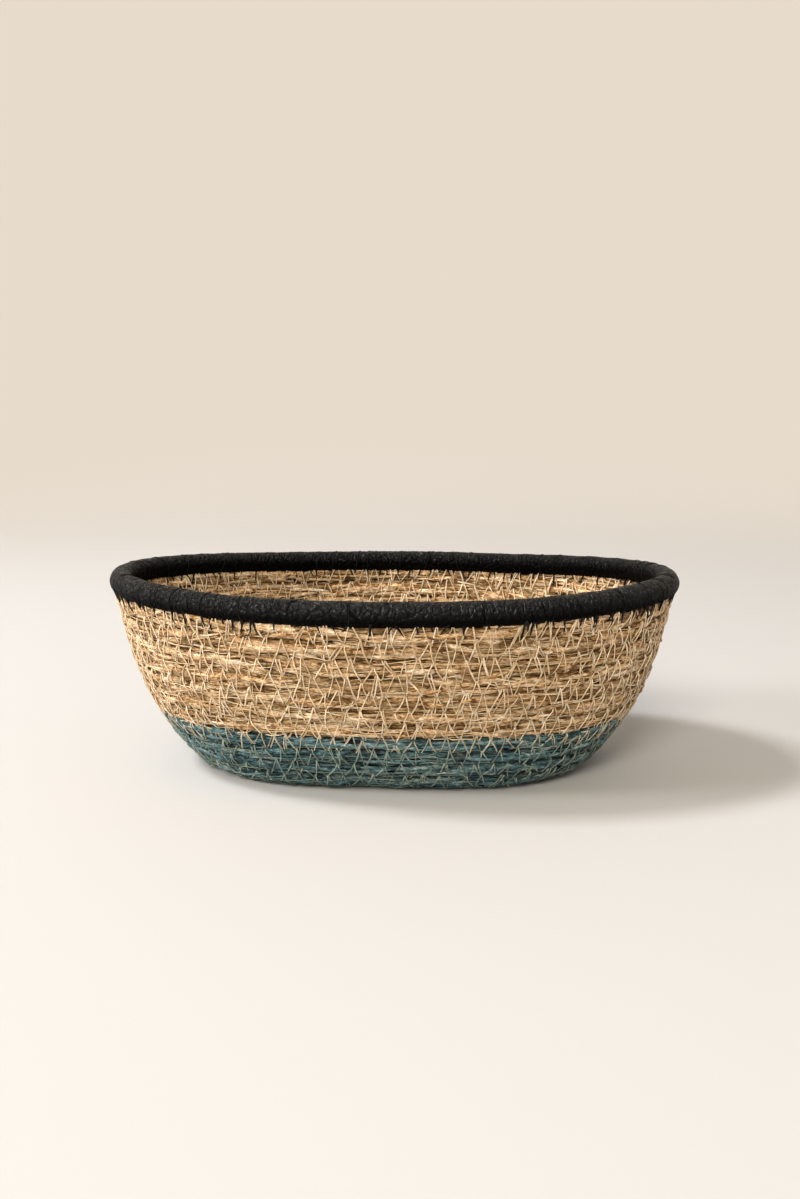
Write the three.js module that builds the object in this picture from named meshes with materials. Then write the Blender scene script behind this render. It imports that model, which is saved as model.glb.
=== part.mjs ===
// Oval seagrass basket: one bundle of grass coiled from the floor up the wall,
// sewn row to row with thread and finished with a bound rim.
// Millimetres, +Z up, +X along the basket, standing on z = 0.
import * as THREE from "three";

// Coil
const coreLength = 60; // straight stretch that the oval is wound about
const rowPitch = 6.1; // from one row of the coil to the next
const rowGap = 0.85; // between neighbouring rows
const coilThickness = 4.4; // through the wall
const faceShare = 0.62; // flat part of the coil's height on its inner and outer face
const floorRows = 5;
const lowerWallRows = 5;
const upperWallRows = 7;

// Profile of the wall, on the middle of the coil
const heelRadius = 14; // from the floor up
const heelAngle = 46; // degrees from the floor, where the heel meets the belly
const bellyRadius = 85;
const wallAngle = 76; // degrees from the floor, from the belly to the rim
const saddle = 1.2; // rise of the rim at the two ends, and its dip at the long sides

// Rim
const rimCoreRadius = 2.85;
const bindingThickness = 0.8;
const bindingOpening = 60; // degrees left open below, over the top row
const rimInset = 0.8; // rim's middle inside the line of the wall

// Thread
const threadWidth = 1.1;
const threadStand = 0.6; // height of the thread over its own underside
const stitchLength = 5; // along the row, from one turn of the zigzag to the next
const stitchReach = 0.4; // of the coil's height, up and down from its middle
const rimStitchReach = 0.3; // of the coil's height, up towards the binding

const clearance = 0.35; // between neighbouring pieces
const endGap = 0.5; // where one length of coil follows another
const leastSelfGap = 0.4;

// Steps of one loop: the right end's back quarter, where each row climbs to the
// next, then the back side, the left end, the front side and the right end's front.
const arcStep = 18;
const climbSteps = 90 / arcStep;
const endSteps = 180 / arcStep;
const sideSteps = 4;
const loopSteps = 2 * (endSteps + sideSteps);

const coilHeight = rowPitch - rowGap;
const floorReach = floorRows * rowPitch;
const wallRows = lowerWallRows + upperWallRows;
const topRow = floorRows + wallRows - 1;
const faceOffset = coilThickness / 2;
const rimRadius = rimCoreRadius + clearance + bindingThickness;
const topLevel = (topRow + 0.5) * rowPitch;
const rimLevel = topLevel + coilHeight / 2 + clearance + rimCoreRadius;

const radians = THREE.MathUtils.degToRad;

const naturalGrass = new THREE.MeshStandardMaterial({ color: 0xc8a574, roughness: 0.85, metalness: 0 });
const tealGrass = new THREE.MeshStandardMaterial({ color: 0x56777f, roughness: 0.85, metalness: 0 });
const strawThread = new THREE.MeshStandardMaterial({ color: 0xdfc393, roughness: 0.8, metalness: 0 });
const sageThread = new THREE.MeshStandardMaterial({ color: 0x8b998b, roughness: 0.8, metalness: 0 });
const blackStrip = new THREE.MeshStandardMaterial({ color: 0x1b1a19, roughness: 0.5, metalness: 0 });
const blackThread = new THREE.MeshStandardMaterial({ color: 0x161514, roughness: 0.7, metalness: 0 });

// Reach out from the core line, height and lean of the profile, at a length along it.
function profileAt(level) {
  const heelTurn = radians(heelAngle);
  const wallTurn = radians(wallAngle);
  const heelEnd = floorReach + heelRadius * heelTurn;
  const bellyEnd = heelEnd + bellyRadius * (wallTurn - heelTurn);
  const onHeel = THREE.MathUtils.clamp(level, floorReach, heelEnd) - floorReach;
  const onBelly = THREE.MathUtils.clamp(level, heelEnd, bellyEnd) - heelEnd;
  const onWall = Math.max(level, bellyEnd) - bellyEnd;
  const heelLean = onHeel / heelRadius;
  const lean = heelLean + onBelly / bellyRadius;
  const reach = Math.min(level, floorReach)
    + heelRadius * Math.sin(heelLean)
    + bellyRadius * (Math.sin(lean) - Math.sin(heelLean))
    + onWall * Math.cos(lean);
  const height = faceOffset
    + heelRadius * (1 - Math.cos(heelLean))
    + bellyRadius * (Math.cos(heelLean) - Math.cos(lean))
    + onWall * Math.sin(lean);
  return { reach, height, lean };
}

// Angle and middle of the oval at a whole step of the loop.
function stationAt(step) {
  const half = coreLength / 2;
  const across = coreLength / sideSteps;
  if (step <= climbSteps) return { angle: step * arcStep, middle: half };
  const onBack = step - climbSteps;
  if (onBack <= sideSteps) return { angle: 90, middle: half - onBack * across };
  const onLeft = onBack - sideSteps;
  if (onLeft <= endSteps) return { angle: 90 + onLeft * arcStep, middle: -half };
  const onFront = onLeft - endSteps;
  if (onFront <= sideSteps) return { angle: 270, middle: -half + onFront * across };
  return { angle: 270 + (onFront - sideSteps) * arcStep, middle: half };
}

// Place on the profile at a level: its point, its way up the wall and its way out.
// Straight-sided about the core line, the rows round to a true oval at the top.
function frameAt(step, level) {
  const { angle, middle } = stationAt(step);
  const { reach, height, lean } = profileAt(level);
  const turn = radians(angle);
  const climb = Math.max(level - floorReach, 0) / (rimLevel - floorReach);
  const radial = new THREE.Vector3(Math.cos(turn), Math.sin(turn), 0);
  const point = radial.clone().multiplyScalar(reach);
  point.x += middle;
  const spread = Math.hypot(point.x / (coreLength / 2 + reach), point.y / reach);
  point.multiplyScalar(1 - Math.min(level / topLevel, 1) * (1 - 1 / spread));
  point.z = height + saddle * climb * climb * Math.cos(2 * turn);
  const up = radial.clone().multiplyScalar(Math.cos(lean)).setZ(Math.sin(lean));
  const out = radial.clone().multiplyScalar(Math.sin(lean)).setZ(-Math.cos(lean));
  return { point, up, out };
}

function blend(a, b, share) {
  return {
    point: a.point.clone().lerp(b.point, share),
    up: a.up.clone().lerp(b.up, share),
    out: a.out.clone().lerp(b.out, share),
  };
}

// Middle of the coil at a count of steps from its start, straight between whole steps.
function coilFrame(steps) {
  const whole = (count) => {
    const row = Math.floor(count / loopSteps);
    const step = count - row * loopSteps;
    const level = (row - 0.5 + Math.min(step / climbSteps, 1)) * rowPitch;
    return frameAt(step, level);
  };
  const before = Math.floor(steps);
  const share = steps - before;
  return share === 0 ? whole(before) : blend(whole(before), whole(before + 1), share);
}

// Steps that a length takes up, from a whole step onwards.
function stepsOf(length, start) {
  return length / coilFrame(start).point.distanceTo(coilFrame(start + 1).point);
}

function rimFrame(step) {
  const frame = frameAt(step, rimLevel);
  frame.point.addScaledVector(frame.out, -rimInset);
  return frame;
}

// Points of a section, each given up the wall and outwards, placed in a frame.
function ringOf(frame, section) {
  return section.map(([up, out]) =>
    frame.point.clone().addScaledVector(frame.up, up).addScaledVector(frame.out, out));
}

// Closed tube through rings of equal count, capped at its ends or joined to a loop.
function tubeOf(rings, joined = false) {
  const sides = rings[0].length;
  const positions = rings.flat().flatMap((p) => [p.x, p.y, p.z]);
  const faces = [];
  const spans = joined ? rings.length : rings.length - 1;
  for (let i = 0; i < spans; i++) {
    const here = i * sides;
    const next = ((i + 1) % rings.length) * sides;
    for (let k = 0; k < sides; k++) {
      const l = (k + 1) % sides;
      faces.push(here + k, next + l, next + k, here + k, here + l, next + l);
    }
  }
  if (!joined) {
    const last = (rings.length - 1) * sides;
    for (let k = 1; k < sides - 1; k++) {
      faces.push(0, k + 1, k, last, last + k, last + k + 1);
    }
  }
  const geometry = new THREE.BufferGeometry();
  geometry.setAttribute("position", new THREE.Float32BufferAttribute(positions, 3));
  geometry.setIndex(faces);
  geometry.computeVertexNormals();
  return geometry;
}

// Section of the coil, flat on both faces and pointed towards the rows above and below.
function coilSection(height, thickness, lift = 0) {
  const tip = height / 2;
  const edge = tip * faceShare;
  const face = thickness / 2;
  return [
    [lift + tip, 0],
    [lift + edge, face],
    [lift - edge, face],
    [lift - tip, 0],
    [lift - edge, -face],
    [lift + edge, -face],
  ];
}

// Least distance between points of rings more than half a loop apart on one tube.
function selfGap(rings) {
  let least = Infinity;
  rings.forEach((ring, i) => {
    for (const other of rings.slice(i + loopSteps / 2)) {
      for (const p of ring) for (const q of other) least = Math.min(least, p.distanceTo(q));
    }
  });
  return least;
}

// Rings of the coil from one step to another, pressed flat where the basket stands.
function coilRings(first, last) {
  const rings = [];
  const start = first + stepsOf(endGap, first);
  rings.push(ringOf(coilFrame(start), coilSection(coilHeight, coilThickness)));
  for (let step = first + 1; step <= last; step++) {
    rings.push(ringOf(coilFrame(step), coilSection(coilHeight, coilThickness)));
  }
  for (const point of rings.flat()) point.z = Math.max(point.z, 0);
  return rings;
}

// The coil's end thins to a wedge between the row that climbs below it and the rim.
function tailRings() {
  const rings = [];
  for (let step = 1; step <= climbSteps - 2; step++) {
    const left = 1 - step / climbSteps;
    const height = rowPitch * left - rowGap;
    const level = topLevel + (coilHeight - height) / 2;
    rings.push(ringOf(frameAt(step, level), coilSection(height, coilThickness * left)));
  }
  return rings;
}

const basket = new THREE.Group();

function addPiece(name, geometry, material) {
  const mesh = new THREE.Mesh(geometry, material);
  mesh.name = name;
  basket.add(mesh);
}

function addCoil(name, rings, material) {
  const gap = selfGap(rings);
  console.log(`${name}: least gap to itself ${gap.toFixed(2)} mm, over ${leastSelfGap}`);
  addPiece(name, tubeOf(rings), material);
}

// Zigzag of thread between two steps of the coil, on its outer face or, with side -1,
// its inner face.
function addStitches(name, [first, last], material, { side = 1, highest = stitchReach } = {}) {
  const foot = faceOffset + clearance;
  const reach = coilHeight * stitchReach;
  const rings = [];
  let down = true;
  const turnAt = (steps) => {
    const lift = down ? -reach : coilHeight * highest;
    rings.push(ringOf(coilFrame(steps), [
      [lift - threadWidth / 2, side * foot],
      [lift, side * (foot + threadStand)],
      [lift + threadWidth / 2, side * foot],
    ]));
    down = !down;
  };
  for (let step = first; step < last; step++) {
    const count = Math.max(1, Math.round(1 / stepsOf(stitchLength, step)));
    for (let i = 0; i < count; i++) turnAt(step + i / count);
  }
  if (side > 0) rings.forEach((ring) => ring.reverse());
  addPiece(name, tubeOf(rings), material);
}

// Coil, spliced where the floor turns up and where the colour changes
const floorEnd = floorRows * loopSteps;
const lowerEnd = floorEnd + lowerWallRows * loopSteps;
const upperEnd = lowerEnd + upperWallRows * loopSteps;
addCoil("floor_coil", coilRings(climbSteps, floorEnd), tealGrass);
addCoil("lower_wall_coil", coilRings(floorEnd, lowerEnd), tealGrass);
addCoil("upper_wall_coil", [...coilRings(lowerEnd, upperEnd), ...tailRings()], naturalGrass);

// Thread: each length sews one row and its climb to the next. It shows inside on the
// floor and on the heel's first row, which the basket stands on, and outside above them.
const rowSpan = (row) => [row * loopSteps + climbSteps, (row + 1) * loopSteps + climbSteps];
for (let row = 1; row <= floorRows; row++) {
  addStitches(`floor_stitch_row_${row}`, rowSpan(row), sageThread, { side: -1 });
}
for (let row = floorRows + 1; row < topRow; row++) {
  const [first, next] = rowSpan(row);
  const last = Math.min(next, topRow * loopSteps);
  const thread = row < floorRows + lowerWallRows - 1 ? sageThread : strawThread;
  const name = `wall_stitch_row_${String(row - floorRows + 1).padStart(2, "0")}`;
  addStitches(name, [first, last], thread);
}
const topSpan = [topRow * loopSteps, (topRow + 1) * loopSteps];
addStitches("rim_stitches", topSpan, blackThread, { highest: rimStitchReach });

// Rim: a core bundle in one loop, with its binding closed round it but for the underside
const coreSides = 8;
const coreSection = [];
for (let k = 0; k < coreSides; k++) {
  const turn = (-2 * Math.PI * k) / coreSides;
  coreSection.push([rimCoreRadius * Math.sin(turn), rimCoreRadius * Math.cos(turn)]);
}
const coreRings = [];
for (let step = 0; step <= loopSteps; step++) {
  const frame = step < loopSteps
    ? rimFrame(step)
    : blend(rimFrame(0), rimFrame(loopSteps - 1), stepsOf(endGap, upperEnd - 1));
  coreRings.push(ringOf(frame, coreSection));
}
addPiece("rim_core", tubeOf(coreRings), naturalGrass);

const bindingSteps = 10;
const bindingSection = [];
for (const radius of [rimRadius, rimRadius - bindingThickness]) {
  const arc = [];
  for (let k = 0; k <= bindingSteps; k++) {
    const turn = radians(270 - bindingOpening / 2 - ((360 - bindingOpening) * k) / bindingSteps);
    arc.push([radius * Math.sin(turn), radius * Math.cos(turn)]);
  }
  bindingSection.push(...(radius === rimRadius ? arc : arc.reverse()));
}
const bindingRings = [];
for (let step = 0; step < loopSteps; step++) bindingRings.push(ringOf(rimFrame(step), bindingSection));
addPiece("rim_binding", tubeOf(bindingRings, true), blackStrip);

export default basket;
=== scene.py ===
import math
import random

import bpy
import numpy as np
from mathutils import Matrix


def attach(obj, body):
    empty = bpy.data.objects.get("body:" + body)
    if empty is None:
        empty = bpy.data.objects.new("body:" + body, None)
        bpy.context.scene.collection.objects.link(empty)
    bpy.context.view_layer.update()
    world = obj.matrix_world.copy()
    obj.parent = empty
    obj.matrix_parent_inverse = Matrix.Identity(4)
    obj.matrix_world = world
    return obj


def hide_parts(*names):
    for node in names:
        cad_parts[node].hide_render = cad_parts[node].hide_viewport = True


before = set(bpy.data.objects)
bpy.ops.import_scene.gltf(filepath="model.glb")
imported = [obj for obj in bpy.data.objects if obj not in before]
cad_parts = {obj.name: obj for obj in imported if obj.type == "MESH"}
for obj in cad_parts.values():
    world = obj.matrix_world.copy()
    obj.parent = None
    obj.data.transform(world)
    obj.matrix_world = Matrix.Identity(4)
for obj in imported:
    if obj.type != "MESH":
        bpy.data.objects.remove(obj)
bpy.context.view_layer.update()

mm = 0.001

# The coil in millimetres: the part's own sizes, then how uneven it is and how its two ends run.
# A loop of the oval has 24 steps from its right end, and the middle of its front is at step 18.
coil = {
    "coreLength": 60, "rowPitch": 6.1, "halfThick": 2.2,
    "floorRows": 5, "lowerRows": 5, "upperRows": 7,
    "heelRadius": 14, "heelAngle": 46, "bellyRadius": 85, "wallAngle": 76,
    "saddle": 1.2, "loopSteps": 24, "climbSteps": 5, "frontStep": 18,
    "lump": 0.09, "sway": 0.22, "pressed": 0.6,
    "headFrom": 1, "tailTo": 4, "tailSewn": 3, "tailThin": 0.4,
}
rim = {"coreRadius": 2.85, "rowGap": 0.85, "clearance": 0.35, "inset": 0.8, "radius": 4.1}
# The front is a little fuller at the heel and its coloured rows stand a little higher
front = {"push": 2.4, "pushLevel": 38, "rise": 1.0, "riseLevel": 60, "spread": 16}

floorReach = coil["floorRows"] * coil["rowPitch"]
topRow = coil["floorRows"] + coil["lowerRows"] + coil["upperRows"] - 1
topLevel = (topRow + 0.5) * coil["rowPitch"]
rimLevel = topLevel + (coil["rowPitch"] - rim["rowGap"]) / 2 + rim["clearance"] + rim["coreRadius"]
floorEnd = coil["floorRows"] * coil["loopSteps"]
lowerEnd = floorEnd + coil["lowerRows"] * coil["loopSteps"]
upperEnd = lowerEnd + coil["upperRows"] * coil["loopSteps"]


# Reach, height and lean of the wall at a level, which is a length along its profile
def profileAt(level):
    heelTurn, wallTurn = math.radians(coil["heelAngle"]), math.radians(coil["wallAngle"])
    heelEnd = floorReach + coil["heelRadius"] * heelTurn
    bellyEnd = heelEnd + coil["bellyRadius"] * (wallTurn - heelTurn)
    heelLean = (np.clip(level, floorReach, heelEnd) - floorReach) / coil["heelRadius"]
    lean = heelLean + (np.clip(level, heelEnd, bellyEnd) - heelEnd) / coil["bellyRadius"]
    onWall = np.maximum(level, bellyEnd) - bellyEnd
    reach = (np.minimum(level, floorReach) + coil["heelRadius"] * np.sin(heelLean)
             + coil["bellyRadius"] * (np.sin(lean) - np.sin(heelLean)) + onWall * np.cos(lean))
    height = (coil["halfThick"] + coil["heelRadius"] * (1 - np.cos(heelLean))
              + coil["bellyRadius"] * (np.cos(heelLean) - np.cos(lean)) + onWall * np.sin(lean))
    return reach, height, lean


# A point at a step of the loop and a level of the profile, moved up the wall and outwards.
# The rows round from straight sides about the core line to a true oval at the top.
def placeAt(step, level, up, out):
    half = coil["coreLength"] / 2
    knots = [0, 5, 7, 17, 19, 24]
    angle = np.radians(np.interp(step % coil["loopSteps"], knots, [0, 90, 90, 270, 270, 360]))
    middle = np.interp(step % coil["loopSteps"], knots, [half, half, -half, -half, half, half])
    reach, height, lean = profileAt(level)
    climb = np.maximum(level - floorReach, 0) / (rimLevel - floorReach)
    x, y = middle + reach * np.cos(angle), reach * np.sin(angle)
    spread = np.hypot(x / (half + reach), y / reach)
    rounded = 1 - np.minimum(level / topLevel, 1) * (1 - 1 / spread)
    side = up * np.cos(lean) + out * np.sin(lean)
    facing = np.maximum(-np.sin(angle), 0) ** 2
    push = front["push"] * facing * np.exp(-((level - front["pushLevel"]) / front["spread"]) ** 2)
    rise = front["rise"] * facing * np.exp(-((level - front["riseLevel"]) / front["spread"]) ** 2)
    z = (height + up * np.sin(lean) - out * np.cos(lean) + rise
         + coil["saddle"] * climb * climb * np.cos(2 * angle))
    x, y = x * rounded + side * np.cos(angle), y * rounded + side * np.sin(angle) - push
    return np.stack([x, y, z], -1) * mm


# A sum of seeded waves that closes on itself over one turn of u and of v
def waves(u, v, seed, count, lowU, highU, highV=0):
    dice = random.Random(seed)
    total = 0
    for k in range(count):
        a, b = dice.randint(lowU, highU), dice.randint(-highV, highV)
        total = total + np.sin(2 * math.pi * (a * u + b * v + dice.random()))
    return total / math.sqrt(count)


# The coil at a count of steps from its start, lumpy and not quite level. It swells from a point in
# the middle of the floor, and past its last loop it thins to a tail under the rim. What keeps to
# one level goes round without the coil's climb.
def coilPlace(steps, up, out, fixedLevel=None):
    share = steps / upperEnd
    up = up + coil["sway"] * waves(share, 0, seed=3, count=8, lowU=20, highU=150)
    out = out * (1 + coil["lump"] * waves(share, 0, seed=4, count=10, lowU=200, highU=1500))
    row = np.floor(steps / coil["loopSteps"])
    step = steps - row * coil["loopSteps"]
    head = np.clip(steps / coil["climbSteps"], 0, 1)
    tail = np.clip((steps - upperEnd) / coil["climbSteps"], 0, 1)
    level = (row - 0.5 + np.minimum(step / coil["climbSteps"], 1)) * coil["rowPitch"]
    level = np.where(head < 1, head * coil["rowPitch"] / 2, level)
    level = np.where(steps < upperEnd, level, topLevel + tail * coil["rowPitch"] / 2)
    if fixedLevel is not None:
        level, tail = np.full_like(step, fixedLevel), 0
    points = placeAt(step, level, up * head * (1 - tail), out * (1 - coil["tailThin"] * tail))
    pressed = coil["pressed"] * mm  # flattened where the basket stands
    low = np.minimum(points[..., 2], pressed)
    points[..., 2] += pressed * np.exp((low - pressed) / pressed) - low
    return points


# Length along the coil against its steps, from one step to another
def coilRuler(first, last, perStep=20):
    steps = np.linspace(first, last, int((last - first) * perStep) + 1)
    points = coilPlace(steps, 0, 0)
    lengths = np.concatenate([[0], np.cumsum(np.linalg.norm(np.diff(points, axis=0), axis=1))])
    return lengths / mm, steps


# Outline of the bundle: a rounded oval, measured along its edge from the middle of the outer face
def bundleOutline(halfHigh, halfThick, power=2.6, count=721):
    turn = np.linspace(-math.pi, math.pi, count)
    up = halfHigh * np.sign(np.sin(turn)) * np.abs(np.sin(turn)) ** (2 / power)
    out = halfThick * np.sign(np.cos(turn)) * np.abs(np.cos(turn)) ** (2 / power)
    edge = np.concatenate([[0], np.cumsum(np.hypot(np.diff(up), np.diff(out)))])
    edge -= edge[count // 2]
    upWay, outWay = np.gradient(up, edge), np.gradient(out, edge)
    return {"edge": edge, "up": up, "out": out, "normalUp": -outWay, "normalOut": upWay,
            "around": edge[-1] - edge[0]}


def onOutline(outline, edge):
    edge = (edge - outline["edge"][0]) % outline["around"] + outline["edge"][0]
    return [np.interp(edge, outline["edge"], outline[k]) for k in ("up", "out", "normalUp", "normalOut")]


def deselect():
    if bpy.context.object and bpy.context.object.mode != "OBJECT":
        bpy.ops.object.mode_set(mode="OBJECT")
    bpy.ops.object.select_all(action="DESELECT")


def setPoints(obj, points):
    obj.data.vertices.foreach_set("co", np.asarray(points, dtype=np.float32).ravel())
    obj.data.update()


def readPoints(obj):
    values = np.empty(len(obj.data.vertices) * 3, dtype=np.float32)
    obj.data.vertices.foreach_get("co", values)
    return values.reshape(-1, 3).astype(float)


def joinAll(name, objects):
    deselect()
    for obj in objects:
        obj.select_set(True)
    bpy.context.view_layer.objects.active = objects[0]
    if len(objects) > 1:
        bpy.ops.object.join()
    joined = bpy.context.view_layer.objects.active
    joined.name = name
    joined.data.name = name
    return joined


# A grid rolled into a tube: place() and each mask take its share along and its turn around
def rollTube(name, along, around, place, closed=False, masks=None):
    deselect()
    bpy.ops.mesh.primitive_grid_add(x_subdivisions=along, y_subdivisions=around, size=1)
    tube = bpy.context.object
    flat = readPoints(tube)
    share, turn = flat[:, 0] + 0.5, flat[:, 1] * 2 * math.pi
    setPoints(tube, place(share, turn))
    for mask, valueAt in (masks or {}).items():
        layer = tube.data.attributes.new(mask, "FLOAT", "POINT")
        layer.data.foreach_set("value", valueAt(share, turn).astype(np.float32))
    bpy.ops.object.mode_set(mode="EDIT")
    bpy.ops.mesh.select_all(action="SELECT")
    bpy.ops.mesh.remove_doubles(threshold=1e-6)
    if not closed:
        bpy.ops.mesh.fill_holes(sides=0)
    bpy.ops.object.mode_set(mode="OBJECT")
    bpy.ops.object.shade_smooth()
    tube.name = name
    return tube


def dress(piece, material, slot, *nodes):
    piece.data.materials.clear()
    piece.data.materials.append(material)
    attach(piece, "root")
    if nodes:
        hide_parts(*nodes)


# Materials: a node with its place in the editor, its sockets' values and its settings
def addNode(tree, kind, place, sockets=None, **settings):
    node = tree.nodes.new(kind)
    node.location = place
    for key, value in settings.items():
        setattr(node, key, value)
    for key, value in (sockets or {}).items():
        node.inputs[key].default_value = value
    return node


def setRamp(node, stops):
    ramp = node.color_ramp
    while len(ramp.elements) > 1:
        ramp.elements.remove(ramp.elements[-1])
    ramp.elements[0].position = stops[0][0]
    ramp.elements[0].color = (*stops[0][1], 1)
    for position, colour in stops[1:]:
        ramp.elements.new(position).color = (*colour, 1)


def newMaterial(name):
    material = bpy.data.materials.new(name)
    material.use_nodes = True
    return material, material.node_tree, material.node_tree.nodes["Principled BSDF"]


# A blade's own marks, from its map in millimetres: streaks along it, patches of colour and
# creases. Each is a noise with its scale along and across, its detail and its roughness.
bladeMarks = {
    "Streak": (0.45, 2.2, 3, 0.6),
    "Patch": (0.4, 0.9, 2, 0.55),
    "Crease": (0.6, 0.8, 3, 0.6),
}


def makeBladeGroup():
    group = bpy.data.node_groups.new("bladeMarks", "ShaderNodeTree")
    link = group.links.new
    group.interface.new_socket("Distortion", in_out="INPUT", socket_type="NodeSocketFloat")
    inlet = addNode(group, "NodeGroupInput", (-800, -300))
    outlet = addNode(group, "NodeGroupOutput", (400, 0))
    uv = addNode(group, "ShaderNodeUVMap", (-800, 0))
    for k, (mark, (along, across, detail, roughness)) in enumerate(bladeMarks.items()):
        group.interface.new_socket(mark, in_out="OUTPUT", socket_type="NodeSocketFloat")
        stretch = addNode(group, "ShaderNodeVectorMath", (-500, -300 * k),
                          {1: (along, across, 1)}, operation="MULTIPLY")
        noise = addNode(group, "ShaderNodeTexNoise", (-200, -300 * k),
                        {"Scale": 1, "Detail": detail, "Roughness": roughness})
        link(uv.outputs["UV"], stretch.inputs[0])
        link(stretch.outputs["Vector"], noise.inputs["Vector"])
        link(inlet.outputs["Distortion"], noise.inputs["Distortion"])
        link(noise.outputs["Fac"], outlet.inputs[mark])
    return group


# Fine marks on Object coordinates: a mottle of colour and a grain, each a noise with its detail
grainMarks = {"Mottle": 3, "Grain": 2}


def makeGrainGroup():
    group = bpy.data.node_groups.new("grainMarks", "ShaderNodeTree")
    link = group.links.new
    inlet = addNode(group, "NodeGroupInput", (-600, -200))
    outlet = addNode(group, "NodeGroupOutput", (200, 0))
    coords = addNode(group, "ShaderNodeTexCoord", (-600, 100))
    for k, (mark, detail) in enumerate(grainMarks.items()):
        group.interface.new_socket(f"{mark} Scale", in_out="INPUT", socket_type="NodeSocketFloat")
        group.interface.new_socket(mark, in_out="OUTPUT", socket_type="NodeSocketFloat")
        noise = addNode(group, "ShaderNodeTexNoise", (-200, -300 * k), {"Detail": detail})
        link(coords.outputs["Object"], noise.inputs["Vector"])
        link(inlet.outputs[f"{mark} Scale"], noise.inputs["Scale"])
        link(noise.outputs["Fac"], outlet.inputs[mark])
    return group


bladeGroup = makeBladeGroup()
grainGroup = makeGrainGroup()

# Stops give a blade's colour by its tint. The hue ramp paints light's colour over it: warmer in the dark
# parts, as bounce light in shade would be, and for the natural grass paler in the lightest parts; the
# darkness it goes by is the streaks' own tone together with the painted shade
naturalGrassLook = {
    "stops": [(0.0, (0.17, 0.073, 0.024)), (0.12, (0.39, 0.21, 0.076)), (0.25, (0.57, 0.336, 0.143)),
              (0.38, (0.68, 0.43, 0.20)), (0.5, (0.77, 0.502, 0.252)), (0.6, (0.72, 0.52, 0.36)),
              (0.7, (0.78, 0.502, 0.242)), (0.82, (0.88, 0.634, 0.37)), (1.0, (0.96, 0.79, 0.57))],
    "paintedLightHues": [(0.12, (1.06, 0.85, 0.5)), (0.5, (1.04, 1.01, 0.96)), (1.0, (1.02, 1.05, 1.18))],
    "darkest": 0.26, "roughness": (0.4, 0.72), "bump": 1.0, "depth": 0.0008,
}
tealGrassLook = {
    "stops": [(0.0, (0.016, 0.043, 0.051)), (0.2, (0.062, 0.141, 0.169)), (0.45, (0.111, 0.236, 0.277)),
              (0.7, (0.165, 0.298, 0.328)), (0.85, (0.237, 0.35, 0.362)), (1.0, (0.37, 0.46, 0.44))],
    "paintedLightHues": [(0.12, (0.8, 0.76, 0.62)), (0.5, (1, 1, 1)), (1.0, (1, 1, 1))],
    "darkest": 0.2, "roughness": (0.4, 0.72), "bump": 1.0, "depth": 0.0008,
}
strawThreadLook = {
    "stops": [(0.0, (0.60, 0.42, 0.23)), (0.5, (0.80, 0.62, 0.41)), (1.0, (0.95, 0.81, 0.62))],
    "paintedLightHues": [(0.12, (1, 0.9, 0.7)), (0.5, (1, 1, 1)), (1.0, (1, 1, 1))],
    "darkest": 0.6, "roughness": (0.45, 0.7), "bump": 0.8, "depth": 0.0003,
}
# Where straw thread crosses on to the coloured rows it has taken some of their dye
dyedThreadLook = {
    "stops": [(0.0, (0.30, 0.27, 0.19)), (0.5, (0.47, 0.43, 0.32)), (1.0, (0.74, 0.67, 0.52))],
    "paintedLightHues": [(0.12, (1, 0.95, 0.8)), (0.5, (1, 1, 1)), (1.0, (1, 1, 1))],
    "darkest": 0.6, "roughness": (0.45, 0.7), "bump": 0.8, "depth": 0.0003,
}
sageThreadLook = {
    "stops": [(0.0, (0.12, 0.165, 0.145)), (0.5, (0.22, 0.285, 0.245)), (1.0, (0.37, 0.43, 0.37))],
    "paintedLightHues": [(0.12, (1, 0.95, 0.8)), (0.5, (1, 1, 1)), (1.0, (1, 1, 1))],
    "darkest": 0.6, "roughness": (0.45, 0.7), "bump": 0.8, "depth": 0.0003,
}
# How far patches move a blade's tint, which streaks darken it, and how much they stand out
bladeShading = {
    "patchFrom": 0.3, "patchTo": 0.7, "patchShift": 0.45,
    "streakFrom": 0.32, "streakTo": 0.6, "brightest": 1.08, "streakRelief": 0.5, "gloss": 0.15,
    "distortion": 0.8,
}


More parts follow.
